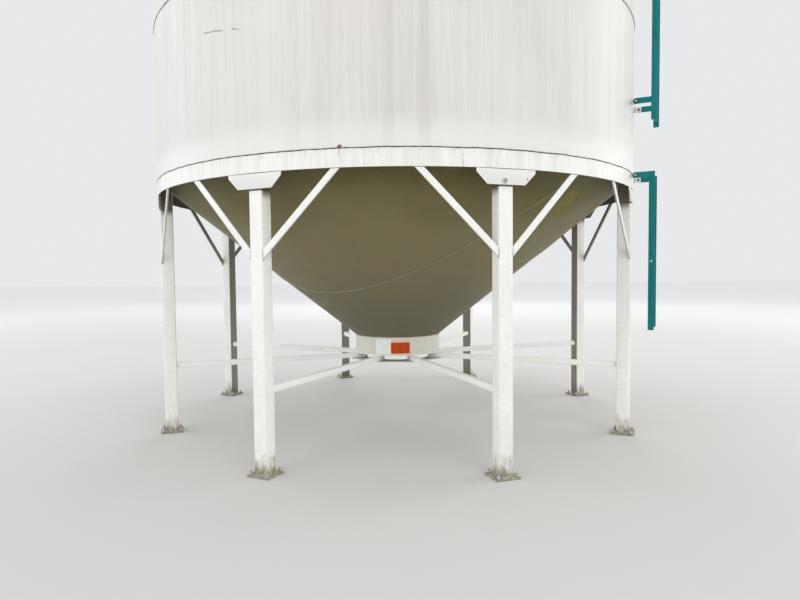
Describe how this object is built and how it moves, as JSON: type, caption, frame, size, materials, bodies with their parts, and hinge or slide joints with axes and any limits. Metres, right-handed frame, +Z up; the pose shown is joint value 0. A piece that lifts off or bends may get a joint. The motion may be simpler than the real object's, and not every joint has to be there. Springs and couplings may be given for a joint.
{
  "type": "grain silo",
  "caption": "Round smooth-wall grain silo with a conical hopper bottom and conical roof on a ring of braced square legs, with a side ladder.",
  "frame": {"origin": "ground level, under the middle of the whole object's box; the silo's own axis stands 15.29 mm towards -X from it, because the ladder widens the +X side", "axes": "+Z up along the silo's axis, -Y towards the front, where the picture was taken from, +X to the right with the ladder"},
  "size_m": [4.3786, 4.348, 8.3176],
  "materials": {
    "wall_paint": "weathered off-white gloss paint with fine dirt streaks",
    "frame_paint": "off-white gloss paint with a few rust spots",
    "cone_paint": "dusty off-white paint",
    "ladder_paint": "teal green gloss paint"
  },
  "bodies": {
    "root": {"wall_course_1": "wall_paint", "wall_course_2": "wall_paint", "wall_course_3": "wall_paint", "wall_course_4": "wall_paint", "skirt_band": "wall_paint", "discharge_collar": "cone_paint", "hub_plate": "frame_paint", "hopper_sheet_1": "cone_paint", "hopper_sheet_2": "cone_paint", "hopper_sheet_3": "cone_paint", "hopper_sheet_4": "cone_paint", "roof_sheet_1": "wall_paint", "roof_sheet_2": "wall_paint", "roof_sheet_3": "wall_paint", "roof_sheet_4": "wall_paint", "roof_sheet_5": "wall_paint", "roof_sheet_6": "wall_paint", "roof_sheet_7": "wall_paint", "roof_sheet_8": "wall_paint", "leg_1": "frame_paint", "knee_brace_1_left": "frame_paint", "knee_brace_1_right": "frame_paint", "radial_tie_1": "frame_paint", "leg_2": "frame_paint", "knee_brace_2_left": "frame_paint", "knee_brace_2_right": "frame_paint", "radial_tie_2": "frame_paint", "leg_3": "frame_paint", "knee_brace_3_left": "frame_paint", "knee_brace_3_right": "frame_paint", "radial_tie_3": "frame_paint", "leg_4": "frame_paint", "knee_brace_4_left": "frame_paint", "knee_brace_4_right": "frame_paint", "radial_tie_4": "frame_paint", "leg_5": "frame_paint", "knee_brace_5_left": "frame_paint", "knee_brace_5_right": "frame_paint", "radial_tie_5": "frame_paint", "leg_6": "frame_paint", "knee_brace_6_left": "frame_paint", "knee_brace_6_right": "frame_paint", "radial_tie_6": "frame_paint", "leg_7": "frame_paint", "knee_brace_7_left": "frame_paint", "knee_brace_7_right": "frame_paint", "radial_tie_7": "frame_paint", "leg_8": "frame_paint", "knee_brace_8_left": "frame_paint", "knee_brace_8_right": "frame_paint", "radial_tie_8": "frame_paint", "fill_ring": "wall_paint", "fill_lid": "wall_paint", "roof_hatch_ring": "wall_paint", "roof_hatch_lid": "wall_paint", "ladder_lower": "ladder_paint", "ladder_middle": "ladder_paint", "ladder_upper": "ladder_paint"}
  },
  "joints": []
}
